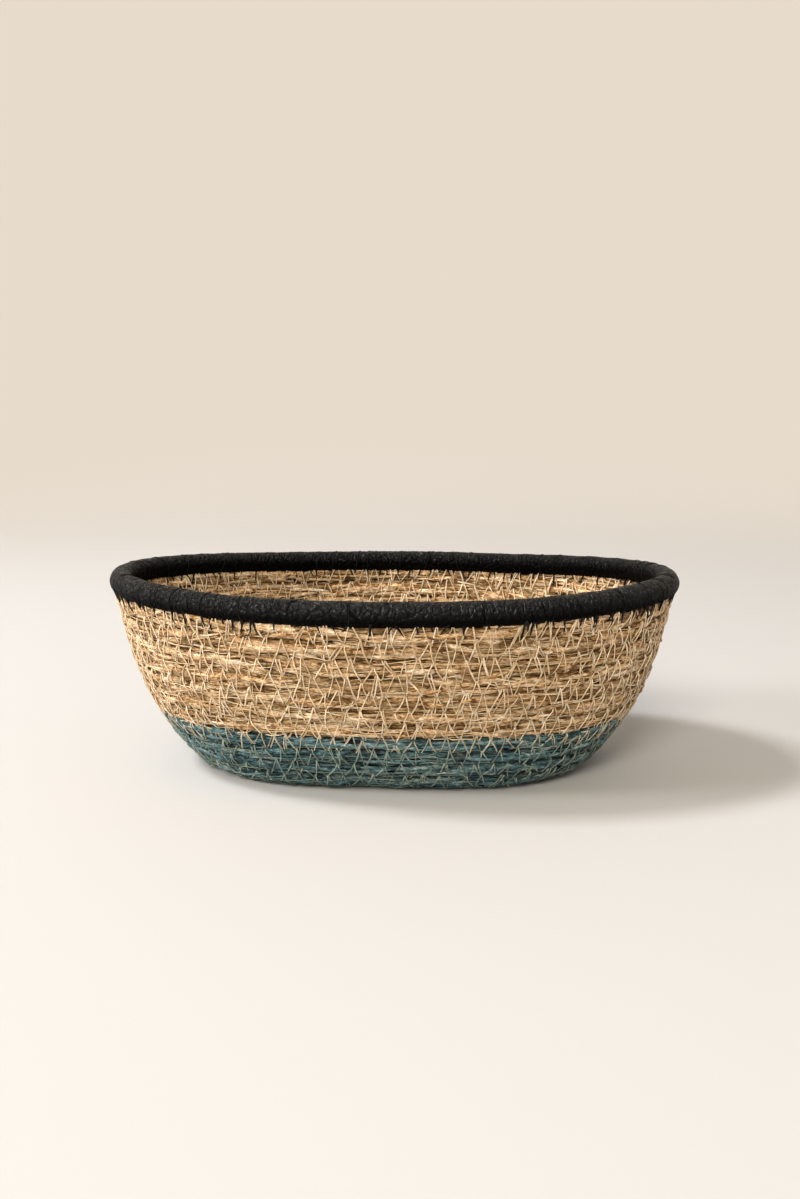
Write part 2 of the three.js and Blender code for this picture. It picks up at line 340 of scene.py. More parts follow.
def grassMaterial(name, look):
    material, tree, bsdf = newMaterial(name)
    link = tree.links.new
    tint = addNode(tree, "ShaderNodeAttribute", (-1100, 350), attribute_name="tint")
    # Painted shade: for blades the shade attribute darkens sunk blades, their tucked ends and the seams
    # between rows, and lightens the inside face; for thread it is a random tone. It multiplies the streaks'
    # own darkness
    paintedShade = addNode(tree, "ShaderNodeAttribute", (-1100, -250), attribute_name="shade")
    marks = addNode(tree, "ShaderNodeGroup", (-1100, 50), {"Distortion": bladeShading["distortion"]},
                    node_tree=bladeGroup)
    spread = addNode(tree, "ShaderNodeMapRange", (-900, 200), {
        "From Min": bladeShading["patchFrom"], "From Max": bladeShading["patchTo"],
        "To Min": -bladeShading["patchShift"], "To Max": bladeShading["patchShift"]}, clamp=False)
    total = addNode(tree, "ShaderNodeMath", (-750, 300), operation="ADD", use_clamp=True)
    ramp = addNode(tree, "ShaderNodeValToRGB", (-600, 300))
    setRamp(ramp, look["stops"])
    shade = addNode(tree, "ShaderNodeMapRange", (-600, 0), {
        "From Min": bladeShading["streakFrom"], "From Max": bladeShading["streakTo"],
        "To Min": look["darkest"], "To Max": bladeShading["brightest"]})
    toneAndPaintedShade = addNode(tree, "ShaderNodeMath", (-450, 0), operation="MULTIPLY")
    # Painted light: this ramp tints the colour by its darkness, warm in the darks like bounce light in shade
    paintedLightRamp = addNode(tree, "ShaderNodeValToRGB", (-450, 600))
    setRamp(paintedLightRamp, look["paintedLightHues"])
    withPaintedLight = addNode(tree, "ShaderNodeMix", (-300, 450), data_type="RGBA", blend_type="MULTIPLY")
    withPaintedLight.inputs["Factor"].default_value = 1
    colour = addNode(tree, "ShaderNodeMix", (-150, 300), data_type="RGBA", blend_type="MULTIPLY",
                     clamp_result=True)
    colour.inputs["Factor"].default_value = 1
    rough = addNode(tree, "ShaderNodeMapRange", (-300, 0), {
        "To Min": look["roughness"][1], "To Max": look["roughness"][0]})
    height = addNode(tree, "ShaderNodeMath", (-500, -250), {1: bladeShading["streakRelief"]},
                     operation="MULTIPLY_ADD")
    bump = addNode(tree, "ShaderNodeBump", (-300, -250), {
        "Strength": look["bump"], "Distance": look["depth"]})
    link(marks.outputs["Patch"], spread.inputs["Value"])
    link(tint.outputs["Fac"], total.inputs[0])
    link(spread.outputs["Result"], total.inputs[1])
    link(total.outputs["Value"], ramp.inputs["Fac"])
    link(marks.outputs["Streak"], shade.inputs["Value"])
    link(shade.outputs["Result"], toneAndPaintedShade.inputs[0])
    link(paintedShade.outputs["Fac"], toneAndPaintedShade.inputs[1])
    link(toneAndPaintedShade.outputs["Value"], paintedLightRamp.inputs["Fac"])
    link(ramp.outputs["Color"], withPaintedLight.inputs["A"])
    link(paintedLightRamp.outputs["Color"], withPaintedLight.inputs["B"])
    link(withPaintedLight.outputs["Result"], colour.inputs["A"])
    link(toneAndPaintedShade.outputs["Value"], colour.inputs["B"])
    link(colour.outputs["Result"], bsdf.inputs["Base Color"])
    link(marks.outputs["Crease"], rough.inputs["Value"])
    link(rough.outputs["Result"], bsdf.inputs["Roughness"])
    link(marks.outputs["Streak"], height.inputs[0])
    link(marks.outputs["Crease"], height.inputs[2])
    link(height.outputs["Value"], bump.inputs["Height"])
    link(bump.outputs["Normal"], bsdf.inputs["Normal"])
    bsdf.inputs["Specular IOR Level"].default_value = bladeShading["gloss"]
    return material


# Loose fibre, black thread and the bundle's body under its blades; the body's dark colour is painted shade
# that shows in the gaps between blades
naturalCorePaintedShadeLook = {"dark": (0.08, 0.04, 0.016), "light": (0.24, 0.13, 0.055), "roughness": 0.9, "gloss": 0.35}
tealCorePaintedShadeLook = {"dark": (0.008, 0.014, 0.016), "light": (0.02, 0.04, 0.045), "roughness": 0.9, "gloss": 0.35}
strawFibreLook = {"dark": (0.60, 0.44, 0.24), "light": (0.86, 0.68, 0.44), "roughness": 0.6, "gloss": 0.35}
sageFibreLook = {"dark": (0.13, 0.18, 0.15), "light": (0.30, 0.36, 0.28), "roughness": 0.65, "gloss": 0.35}
blackLook = {"dark": (0.003, 0.003, 0.003), "light": (0.012, 0.011, 0.01), "roughness": 0.7, "gloss": 0.12}
fibreMarks = {
    "mottleScale": 260, "darkAt": 0.35, "lightAt": 0.65, "grainScale": 3500, "bump": 0.4, "depth": 0.0001,
}


def fibreMaterial(name, look):
    material, tree, bsdf = newMaterial(name)
    link = tree.links.new
    marks = addNode(tree, "ShaderNodeGroup", (-700, 0), {
        "Mottle Scale": fibreMarks["mottleScale"], "Grain Scale": fibreMarks["grainScale"]},
        node_tree=grainGroup)
    ramp = addNode(tree, "ShaderNodeValToRGB", (-450, 100))
    setRamp(ramp, [(fibreMarks["darkAt"], look["dark"]), (fibreMarks["lightAt"], look["light"])])
    bump = addNode(tree, "ShaderNodeBump", (-300, -200), {
        "Strength": fibreMarks["bump"], "Distance": fibreMarks["depth"]})
    link(marks.outputs["Mottle"], ramp.inputs["Fac"])
    link(ramp.outputs["Color"], bsdf.inputs["Base Color"])
    link(marks.outputs["Grain"], bump.inputs["Height"])
    link(bump.outputs["Normal"], bsdf.inputs["Normal"])
    bsdf.inputs["Roughness"].default_value = look["roughness"]
    bsdf.inputs["Specular IOR Level"].default_value = look["gloss"]
    return material


# Black strip: finely creased and cracked, dull in its seams and below. Painted light: its colour is a little
# lighter on top of the rim, where light falls, and darker in the crease hollows as painted shade; the same
# masks give the top a glossy coat
stripLook = {
    "dark": (0.001, 0.001, 0.001), "paintedLightAndGloss": (0.0066, 0.0076, 0.0076), "roughness": 0.6, "gloss": 0.03,
    "shine": 0.6, "shineRoughness": 0.19, "shineIor": 1.4,
    "creaseAcross": 480, "creaseAround": 12, "creaseDetail": 2, "creaseRoughness": 0.6,
    "creaseDistortion": 0.5, "ridgeFrom": 0.35, "ridgeTo": 0.65, "paintedHollowShade": 0.5,
    "creaseBump": 0.9, "creaseDepth": 0.0007,
    "crackAcross": 290, "crackAround": 9, "crackWidth": 0.25, "crackBump": 0.9, "crackDepth": 0.0005,
    "grainScale": 2200, "grainBump": 0.6, "grainDepth": 0.00012,
}


def stripMaterial(name):
    material, tree, bsdf = newMaterial(name)
    link = tree.links.new
    uv = addNode(tree, "ShaderNodeUVMap", (-1300, 100))
    stretch = addNode(tree, "ShaderNodeMapping", (-1100, 100), {
        "Scale": (stripLook["creaseAcross"], stripLook["creaseAround"], 1)})
    crease = addNode(tree, "ShaderNodeTexNoise", (-900, 200), {
        "Scale": 1, "Detail": stripLook["creaseDetail"], "Roughness": stripLook["creaseRoughness"],
        "Distortion": stripLook["creaseDistortion"]})
    ridge = addNode(tree, "ShaderNodeMapRange", (-700, 200), {
        "From Min": stripLook["ridgeFrom"], "From Max": stripLook["ridgeTo"], "To Min": stripLook["paintedHollowShade"]})
    spread = addNode(tree, "ShaderNodeMapping", (-1100, -100), {
        "Scale": (stripLook["crackAcross"], stripLook["crackAround"], 1)})
    crack = addNode(tree, "ShaderNodeTexVoronoi", (-900, -50), voronoi_dimensions="2D",
                    feature="DISTANCE_TO_EDGE")
    crack.inputs["Scale"].default_value = 1
    facet = addNode(tree, "ShaderNodeMapRange", (-700, -50), {"From Max": stripLook["crackWidth"]})
    grain = addNode(tree, "ShaderNodeGroup", (-900, -300), {"Grain Scale": stripLook["grainScale"]},
                    node_tree=grainGroup)
    # Painted light on top of the rim and painted shade in the crease hollows, which also set where the coat
    # shines
    paintedLightAndGloss = addNode(tree, "ShaderNodeAttribute", (-900, 500), attribute_name="paintedLightAndGloss")
    seam = addNode(tree, "ShaderNodeAttribute", (-900, 750), attribute_name="seam")
    closed = addNode(tree, "ShaderNodeMath", (-700, 750), {0: 1}, operation="SUBTRACT", use_clamp=True)
    topLightAndGloss = addNode(tree, "ShaderNodeMath", (-500, 600), operation="MULTIPLY")
    paintedLightShadeAndGloss = addNode(tree, "ShaderNodeMath", (-350, 450), operation="MULTIPLY")
    shine = addNode(tree, "ShaderNodeMath", (-200, 600), {1: stripLook["shine"]}, operation="MULTIPLY")
    ramp = addNode(tree, "ShaderNodeValToRGB", (-200, 300))
    setRamp(ramp, [(0.0, stripLook["dark"]), (1.0, stripLook["paintedLightAndGloss"])])
    creaseBump = addNode(tree, "ShaderNodeBump", (-400, -200), {
        "Strength": stripLook["creaseBump"], "Distance": stripLook["creaseDepth"]})
    crackBump = addNode(tree, "ShaderNodeBump", (-200, -200), {
        "Strength": stripLook["crackBump"], "Distance": stripLook["crackDepth"]})
    grainBump = addNode(tree, "ShaderNodeBump", (0, -200), {
        "Strength": stripLook["grainBump"], "Distance": stripLook["grainDepth"]})
    link(uv.outputs["UV"], stretch.inputs["Vector"])
    link(stretch.outputs["Vector"], crease.inputs["Vector"])
    link(crease.outputs["Fac"], ridge.inputs["Value"])
    link(seam.outputs["Fac"], closed.inputs[1])
    link(paintedLightAndGloss.outputs["Fac"], topLightAndGloss.inputs[0])
    link(closed.outputs["Value"], topLightAndGloss.inputs[1])
    link(topLightAndGloss.outputs["Value"], paintedLightShadeAndGloss.inputs[0])
    link(ridge.outputs["Result"], paintedLightShadeAndGloss.inputs[1])
    link(paintedLightShadeAndGloss.outputs["Value"], ramp.inputs["Fac"])
    link(ramp.outputs["Color"], bsdf.inputs["Base Color"])
    link(paintedLightShadeAndGloss.outputs["Value"], shine.inputs[0])
    link(shine.outputs["Value"], bsdf.inputs["Coat Weight"])
    link(uv.outputs["UV"], spread.inputs["Vector"])
    link(spread.outputs["Vector"], crack.inputs["Vector"])
    link(crack.outputs["Distance"], facet.inputs["Value"])
    link(ridge.outputs["Result"], creaseBump.inputs["Height"])
    link(facet.outputs["Result"], crackBump.inputs["Height"])
    link(grain.outputs["Grain"], grainBump.inputs["Height"])
    link(creaseBump.outputs["Normal"], crackBump.inputs["Normal"])
    link(crackBump.outputs["Normal"], grainBump.inputs["Normal"])
    link(grainBump.outputs["Normal"], bsdf.inputs["Normal"])
    link(grainBump.outputs["Normal"], bsdf.inputs["Coat Normal"])
    bsdf.inputs["Roughness"].default_value = stripLook["roughness"]
    bsdf.inputs["Coat Roughness"].default_value = stripLook["shineRoughness"]
    bsdf.inputs["Coat IOR"].default_value = stripLook["shineIor"]
    bsdf.inputs["Specular IOR Level"].default_value = stripLook["gloss"]
    return material


naturalGrass = grassMaterial("naturalGrass", naturalGrassLook)
tealGrass = grassMaterial("tealGrass", tealGrassLook)
# The core colours are painted shade: dark bodies seen in the gaps between blades
naturalCorePaintedShade = fibreMaterial("naturalCorePaintedShade", naturalCorePaintedShadeLook)
tealCorePaintedShade = fibreMaterial("tealCorePaintedShade", tealCorePaintedShadeLook)
strawThread = grassMaterial("strawThread", strawThreadLook)
dyedThread = grassMaterial("dyedThread", dyedThreadLook)
sageThread = grassMaterial("sageThread", sageThreadLook)
strawFibre = fibreMaterial("strawFibre", strawFibreLook)
sageFibre = fibreMaterial("sageFibre", sageFibreLook)
blackThread = fibreMaterial("blackThread", blackLook)
blackStrip = stripMaterial("blackStrip")
print("materials made")


# One blade of grass, flat and straight, to be copied and laid along the coil
def makeBladePattern():
    deselect()
    bpy.ops.mesh.primitive_grid_add(x_subdivisions=5, y_subdivisions=2, size=1)
    pattern = bpy.context.object
    pattern.name = "bladePattern"
    thick = pattern.modifiers.new("thick", "SOLIDIFY")
    thick.thickness = 1
    thick.offset = 1
    bpy.ops.object.modifier_apply(modifier="thick")
    bpy.ops.object.shade_smooth()
    pattern.data.attributes.new("tint", "FLOAT", "POINT")
    pattern.data.attributes.new("shade", "FLOAT", "POINT")
    return pattern


bladePattern = makeBladePattern()
bladeFlat = readPoints(bladePattern)
bladeUv = np.empty(len(bladePattern.data.loops) * 2, dtype=np.float32)
bladePattern.data.uv_layers.active.data.foreach_get("uv", bladeUv)
bladeUv = bladeUv.reshape(-1, 2)

# Blades in millimetres: how they fill their lanes, their own shape, how they lie, those that stray, the
# bundle that they lie on, and their painted shade: darker where they lie sunk, at their tucked ends and near
# the seams between rows, with the inside face painted lighter
bladeLay = {
    "lane": 0.8, "length": (5, 26), "advance": (0.7, 0.95), "aside": 0.3, "endRoom": 4, "batch": 2500,
    "widths": [(0.6, 1.0), (1.0, 1.6), (1.0, 1.6), (1.5, 2.7)], "taper": 0.7, "ragged": 0.18,
    "raggedWave": (9, 20), "thick": (0.2, 0.4), "crown": 0.16,
    "lift": (-0.45, 0.25), "dip": 0.65, "drift": 0.08, "wiggle": 0.25, "wiggleWave": (10, 40),
    "roll": 0.65, "rollWave": (12, 40), "crumple": 0.16, "crumpleWave": (5, 12),
    "stray": 0.14, "strayDrift": 0.28, "strayReach": 2.8, "strayStand": 0.1, "strayRoom": 2,
    "halfHigh": 2.92, "halfThick": 1.75, "bodyHigh": 1.2, "bodyThick": 0.62, "bodyInset": 0.02,
    "bodyAlong": 6, "bodyAround": 12,
    "tints": (0.15, 0.9), "sunkShade": 0.3, "liftShade": 0.8, "endShade": 0.45, "seamShade": 0.72,
    "insidePaintedLight": 1.3,
}
bundle = bundleOutline(bladeLay["halfHigh"], bladeLay["halfThick"])


# Height over the row's middle of what spans from row to row
def spanHeight(up, stand, side, dip=0.22):
    offset = np.abs((up / coil["rowPitch"] + 0.5) % 1 - 0.5) * 2
    return side * (bladeLay["halfThick"] + stand) * (1 - dip * offset ** 3)


# A copy of the pattern at its own points, with its own tint, map and shade, which is painted shade for blades
# and a random tone for thread
def copyBlade(dice, points, tint, shade, length, width):
    obj = bladePattern.copy()
    obj.data = bladePattern.data.copy()
    bpy.context.collection.objects.link(obj)
    setPoints(obj, points)
    obj.data.attributes["tint"].data.foreach_set("value", np.full(len(points), tint, dtype=np.float32))
    obj.data.attributes["shade"].data.foreach_set("value", shade.astype(np.float32))
    uv = bladeUv * [length, width] + [dice.uniform(0, 500), dice.uniform(0, 50)]
    obj.data.uv_layers.active.data.foreach_set("uv", uv.astype(np.float32).ravel())
    return obj


# A blade follows the bundle's outline; a stray one crosses to the rows beside it
def layBlade(dice, ruler, start, length, edge, paintedLight, stray=False):
    share, across, thick = bladeFlat[:, 0] + 0.5, bladeFlat[:, 1], bladeFlat[:, 2]

    def wave(shortest, longest):
        return np.sin(2 * math.pi * (share * length / dice.uniform(shortest, longest) + dice.random()))

    ends = np.abs(2 * share - 1)
    broad = dice.uniform(*dice.choice(bladeLay["widths"]))
    width = (broad * (1 - bladeLay["taper"] * ends ** 5)
             * (1 + bladeLay["ragged"] * wave(*bladeLay["raggedWave"])))
    drift = bladeLay["strayDrift" if stray else "drift"] * length * dice.uniform(-1, 1)
    bend = drift * (share - 0.5) + bladeLay["wiggle"] * wave(*bladeLay["wiggleWave"])
    roll = dice.uniform(-1, 1) * bladeLay["roll"] * wave(*bladeLay["rollWave"])
    deep = dice.random()
    rest = bladeLay["lift"][0] + deep * (bladeLay["lift"][1] - bladeLay["lift"][0])
    lift = (rest + thick * dice.uniform(*bladeLay["thick"]) + bladeLay["crown"] * (1 - 4 * across ** 2)
            + bladeLay["crumple"] * wave(*bladeLay["crumpleWave"])
            + roll * across * width - bladeLay["dip"] * ends ** 4)
    up, out, normalUp, normalOut = onOutline(bundle, edge + bend + across * width)
    # Painted shade near the seams between rows, where the zigzags meet
    seam = np.abs(up / bladeLay["halfHigh"]) ** 4
    if stray:
        up = edge + bend + across * width
        out, normalUp, normalOut, seam = spanHeight(up, bladeLay["strayStand"], 1), 0, 1, 0
    steps = np.interp(np.clip(start + share * length, 0, ruler[0][-1]), *ruler)
    points = coilPlace(steps, up + normalUp * lift, out + normalOut * lift)
    # Painted shade: sunk blades, blade ends and blades by the row seams are darker, and the inside face is
    # painted lighter
    shade = (paintedLight * (bladeLay["sunkShade"] + bladeLay["liftShade"] * deep)
             * (1 - bladeLay["endShade"] * ends ** 6) * (1 - bladeLay["seamShade"] * seam))
    return copyBlade(dice, points, dice.uniform(*bladeLay["tints"]), shade, length, broad)


# The bundle's own body fills the coil under its blades
def coilBody(name, first, last):
    inset = bladeLay["bodyInset"]

    def place(share, turn):
        up, out, _, _ = onOutline(bundle, turn / (2 * math.pi) * bundle["around"])
        steps = first + inset + share * (last - first - 2 * inset)
        return coilPlace(steps, up * bladeLay["bodyHigh"], out * bladeLay["bodyThick"])

    return rollTube(name, round((last - first) * bladeLay["bodyAlong"]), bladeLay["bodyAround"], place)


# The lanes of one face of the bundle, filled from the coil's start to its end
def layLanes(dice, ruler, middle, paintedLight):
    quarter = bundle["around"] / 4
    lanes = round(2 * quarter / bladeLay["lane"])
    blades = []
    for lane in range(lanes):
        edge = middle + ((lane + 0.5) / lanes * 2 - 1) * quarter
        start = -dice.uniform(0, bladeLay["endRoom"])
        while start < ruler[0][-1] - bladeLay["endRoom"]:
            length = dice.uniform(*bladeLay["length"])
            aside = dice.uniform(-bladeLay["aside"], bladeLay["aside"])
            blades.append(layBlade(dice, ruler, start, length, edge + aside, paintedLight))
            start += length * dice.uniform(*bladeLay["advance"])
    return blades


def layStrays(dice, ruler, count, paintedLight):
    blades = []
    for k in range(count):
        length = dice.uniform(*bladeLay["length"])
        start = dice.uniform(bladeLay["strayRoom"], ruler[0][-1] - length - bladeLay["strayRoom"])
        edge = dice.uniform(-bladeLay["strayReach"], bladeLay["strayReach"])
        blades.append(layBlade(dice, ruler, start, length, edge, paintedLight, stray=True))
    return blades


def buildCoil(node, first, last, blade, core, slot, seed):
    dice = random.Random(seed)
    ruler = coilRuler(first, last)
    innerMiddle = 2 * (bundle["around"] / 4)
    # The inside face gets painted light, a brighter shade value than the outside
    for facing, middle, paintedLight in (("outside", 0, 1), ("inside", innerMiddle, bladeLay["insidePaintedLight"])):
        blades = layLanes(dice, ruler, middle, paintedLight)
        if facing == "outside":
            blades += layStrays(dice, ruler, int(len(blades) * bladeLay["stray"]), paintedLight)
        for begin in range(0, len(blades), bladeLay["batch"]):
            name = f"{node}_blades_{facing}_{begin // bladeLay['batch'] + 1}"
            piece = joinAll(name, blades[begin:begin + bladeLay["batch"]])
            dress(piece, blade, slot, node)
        print(node, facing, "laid with", len(blades), "blades")
    # The body's dark colour is painted shade between the blades
    body = coilBody(f"{node}_body", first, last)
    dress(body, core, slot, node)


buildCoil("floor_coil", coil["headFrom"], floorEnd, tealGrass, tealCorePaintedShade, "teal_grass", 11)
buildCoil("lower_wall_coil", floorEnd, lowerEnd, tealGrass, tealCorePaintedShade, "teal_grass", 12)
buildCoil("upper_wall_coil", lowerEnd, upperEnd + coil["tailTo"], naturalGrass, naturalCorePaintedShade,
          "natural_grass", 13)

# Stitches in millimetres: the flat thread, the turns of its zigzag, and its doubled and floating legs
stitch = {
    "leg": 2.5, "width": (0.3, 0.6), "narrowing": 0.3, "thick": 0.16, "crown": 0.1, "stand": 0.5,
    "tuck": 1.1, "proud": (-0.08, 0.12), "dip": 0.12, "bow": 0.28, "tints": (0.2, 0.85), "shades": (0.8, 1),
    "astray": 0.55, "apart": 0.45, "rise": 0.6, "past": (-0.3, 2.2), "seamSeed": 4001,
    "doubled": 0.14, "doubledGap": (0.6, 1.4), "float": 0.05, "floatLength": (4, 11), "floatRise": 2.5,
}


# One leg of flat thread across a row, its two ends tucked in among the blades
def threadLeg(dice, ruler, start, end, side):
    share, across, thick = bladeFlat[:, 0] + 0.5, bladeFlat[:, 1], bladeFlat[:, 2]
    way = np.subtract(end, start)
    length = math.hypot(*way)
    width = dice.uniform(*stitch["width"])
    narrowed = 1 - stitch["narrowing"] * np.sin(9 * share + dice.uniform(0, 6)) ** 2
    aside = side * across * width * narrowed / length
    bow = dice.gauss(0, stitch["bow"]) * np.sin(math.pi * share)
    along = start[0] + way[0] * share - way[1] * aside + bow
    up = start[1] + way[1] * share + way[0] * aside
    proud = thick * stitch["thick"] + stitch["crown"] * (1 - 4 * across ** 2)
    proud += dice.uniform(*stitch["proud"]) - stitch["tuck"] * np.abs(2 * share - 1) ** 8
    out = spanHeight(up, stitch["stand"], side, stitch["dip"]) + side * proud
    steps = np.interp(np.clip(along, 0, ruler[0][-1]), *ruler)
    shade = np.full(len(share), dice.uniform(*stitch["shades"]))
    return copyBlade(dice, coilPlace(steps, up, out), dice.uniform(*stitch["tints"]), shade, length, width)


# One row's zigzag on one face. Its turns go by the seam line that they meet the next row's at.
def zigzag(dice, row, first, last, side):
    ruler = coilRuler(first, last)
    middle = np.interp(row * coil["loopSteps"] + coil["frontStep"], ruler[1], ruler[0])
    turns = []
    for k in range(-int(middle / stitch["leg"]), int((ruler[0][-1] - middle) / stitch["leg"]) + 1):
        high = (k + row) % 2
        seam = random.Random((row + high) * stitch["seamSeed"] + k)
        along = middle + k * stitch["leg"] + seam.gauss(0, stitch["astray"]) + dice.gauss(0, stitch["apart"])
        past = coil["rowPitch"] / 2 + dice.uniform(*stitch["past"])
        turns.append((along, seam.gauss(0, stitch["rise"]) + (past if high else -past)))
    legs = []
    for here, there in zip(turns, turns[1:]):
        legs.append(threadLeg(dice, ruler, here, there, side))
        if dice.random() < stitch["doubled"]:
            aside = dice.uniform(*stitch["doubledGap"]) * dice.choice((-1, 1))
            legs.append(threadLeg(dice, ruler, (here[0] + aside, here[1]),
                                  (there[0] + aside * dice.uniform(0, 1), there[1]), side))
        if dice.random() < stitch["float"]:
            far = here[0] + dice.uniform(*stitch["floatLength"]) * dice.choice((-1, 1))
            height = here[1] + dice.uniform(-stitch["floatRise"], stitch["floatRise"])
            legs.append(threadLeg(dice, ruler, here, (far, height), side))
    return legs


def sewBothFaces(dice, row, first, last):
    return [leg for side in (1, -1) for leg in zigzag(dice, row, first, last, side)]


def buildStitches():
    dice = random.Random(31)
    loop, climb = coil["loopSteps"], coil["climbSteps"]
    lastTeal = coil["floorRows"] + coil["lowerRows"] - 1
    for row in range(1, topRow):
        node = f"wall_stitch_row_{row - coil['floorRows'] + 1:02d}"
        if row <= coil["floorRows"]:
            node = f"floor_stitch_row_{row}"
        look, slot = strawThread, "straw_thread"
        if row < lastTeal:
            look, slot = sageThread, "sage_thread"
        elif row == lastTeal:
            look = dyedThread
        first, last = row * loop + climb, min((row + 1) * loop + climb, topRow * loop)
        legs = sewBothFaces(dice, row, first, last)
        if row == topRow - 1:  # its thread also sews the top row and the tail
            legs += sewBothFaces(dice, topRow, topRow * loop, upperEnd)
            legs += sewBothFaces(dice, topRow + 1, upperEnd, upperEnd + coil["tailSewn"])
        thread = joinAll(node.replace("stitch", "thread"), legs)
        dress(thread, look, slot, node)
    print("rows sewn")


buildStitches()
bpy.data.objects.remove(bladePattern)


# Thread as curves with a round bevel, made a mesh at the end
def makeThread(name, runs, thickness):
    deselect()
    data = bpy.data.curves.new(name, "CURVE")
    data.dimensions = "3D"
    data.bevel_depth = thickness / 2 * mm
    data.bevel_resolution = 1
    data.use_fill_caps = True
    for points, widths in runs:
        spline = data.splines.new("POLY")
        spline.points.add(len(points) - 1)
        spline.points.foreach_set("co", np.c_[points, np.ones(len(points))].astype(np.float32).ravel())
        spline.points.foreach_set("radius", np.asarray(widths, dtype=np.float32))
    obj = bpy.data.objects.new(name, data)
    bpy.context.collection.objects.link(obj)
    obj.select_set(True)
    bpy.context.view_layer.objects.active = obj
    bpy.ops.object.convert(target="MESH")
    thread = bpy.context.object
    bpy.ops.object.shade_smooth()
    return thread


# Loose fibres that lie along the outside of the rows
fray = {
    "upper": 420, "lower": 160, "length": (6, 30), "thickness": 0.18, "widths": (0.6, 1.3), "points": 8,
    "room": 2, "reach": 3, "slope": 0.05, "wave": 0.35, "waveTurns": (0.4, 1.4), "lift": (-0.35, 0.15),
    "tuck": 0.4,
}


def buildFray(name, first, last, count, material, slot, seed):
    dice = random.Random(seed)
    ruler = coilRuler(first, last)
    runs = []
    t = np.linspace(0, 1, fray["points"])
    for k in range(count):
        length = dice.uniform(*fray["length"])
        start = dice.uniform(fray["room"], ruler[0][-1] - length - fray["room"])
        up = (dice.uniform(-fray["reach"], fray["reach"]) + dice.gauss(0, fray["slope"]) * length * t
              + fray["wave"] * np.sin(2 * math.pi * (t * dice.uniform(*fray["waveTurns"]) + dice.random())))
        out = (spanHeight(up, stitch["stand"], 1) + dice.uniform(*fray["lift"])
               - fray["tuck"] * np.abs(2 * t - 1) ** 6)
        steps = np.interp(start + length * t, *ruler)
        runs.append((coilPlace(steps, up, out), np.full(len(t), dice.uniform(*fray["widths"]))))
    dress(makeThread(name, runs, fray["thickness"]), material, slot)


buildFray("upper_wall_fibres", lowerEnd, upperEnd, fray["upper"], strawFibre, "natural_grass", 51)
buildFray("lower_wall_fibres", floorEnd, lowerEnd, fray["lower"], sageFibre, "teal_grass", 52)
print("fibres laid")

# Rim: the binding strip, wrapped round and round, each turn lapped over the last
binding = {
    "wraps": 120, "lap": 0.14, "lapEdge": 1.6, "lapMiddle": 0.4, "seam": 0.2, "seamShare": 0.055,
    "seamStray": 0.35, "tight": 0.55, "tightSpread": 0.5, "slackest": 0.15,
    "crease": 0.08, "creaseMiddle": 0.8, "lump": 0.08, "along": 1920, "around": 30,
    # The painted light on the rim runs from its side to its top and is never quite nothing
    "paintedLightSide": 0.2, "paintedLightTop": 0.9, "paintedLightLeast": 0.02, "coreAlong": 240, "coreAround": 10,
}


def rimPlace(share, turn, radius):
    step = share * coil["loopSteps"]
    up = radius * np.sin(turn)
    out = radius * np.cos(turn) - rim["inset"]
    return placeAt(step, np.full_like(share, rimLevel), up, out)


# How far a place is through its wrap and how deep in a seam, both less where the wrap is slack
def seamAt(share, v):
    stray = binding["seamStray"] * waves(share, v, seed=5, count=6, lowU=1, highU=60, highV=1)
    lapped = (binding["wraps"] * share + v + stray) % 1
    uneven = binding["tightSpread"] * waves(share, v, seed=8, count=8, lowU=5, highU=70, highV=1)
    tight = np.clip(binding["tight"] + uneven, binding["slackest"], 1)
    toSeam = np.minimum(lapped, 1 - lapped) / binding["seamShare"]
    return lapped * tight, tight * np.exp(-toSeam ** 2)


def buildBinding():
    def place(share, turn):
        v = turn / (2 * math.pi)
        lapped, seam = seamAt(share, v)
        creases = np.abs(waves(share, v, seed=7, count=10, lowU=90, highU=300, highV=5))
        radius = (rim["radius"] + binding["lap"] * (lapped ** binding["lapEdge"] - binding["lapMiddle"])
                  - binding["seam"] * seam
                  + binding["lump"] * waves(share, v, seed=6, count=8, lowU=1, highU=60, highV=2)
                  + binding["crease"] * (binding["creaseMiddle"] - creases))
        return rimPlace(share, turn, radius)

    def seamMask(share, turn):
        return seamAt(share, turn / (2 * math.pi))[1]

    # Painted light: lighter toward the top of the rim where light falls, with the gloss coat there too
    def paintedLightAndGlossMask(share, turn):
        return np.clip(binding["paintedLightSide"] + binding["paintedLightTop"] * np.sin(turn), binding["paintedLightLeast"], 1)

    def placeCore(share, turn):
        return rimPlace(share, turn, rim["coreRadius"])

    strip = rollTube("rim_binding_strip", binding["along"], binding["around"], place, closed=True,
                     masks={"seam": seamMask, "paintedLightAndGloss": paintedLightAndGlossMask})
    dress(strip, blackStrip, "black_strip", "rim_binding")
    core = rollTube("rim_core_bundle", binding["coreAlong"], binding["coreAround"], placeCore, closed=True)
    dress(core, naturalCorePaintedShade, "natural_grass", "rim_core")
    print("rim bound")


buildBinding()

# Black thread over the top row: legs that hang from the rim, some in pairs, fine lengths of some
# that go on over the rim, and short lengths that run along the row's lower edge
rimStitch = {
    "thickness": 0.85, "start": 2, "endRoom": 4, "gap": (2.8, 7.0),
    "drop": (1.4, 5.2), "slant": 2.0, "slantSpread": 0.7, "top": 4.2, "hidden": 1.4, "hug": 1.5, "bow": 0.2,
    "lift": 0.15, "tuck": 0.7, "widths": (0.8, 1.2), "wideEnd": 1.1, "thinning": 0.7,
    "paired": 0.35, "pairedGap": 0.6, "pairedSlant": 1, "pairedDrop": (2, 5),
    "over": 0.2, "overSlant": 2, "overFrom": 150, "overSweep": 180, "overStand": 0.1, "overWidth": 0.34,
    "short": 0.2, "shortLevel": -2.4, "shortSpread": 0.6, "shortWave": 0.3, "shortLength": (2, 6),
    "shortTuck": 0.4, "shortWidth": 0.6,
}


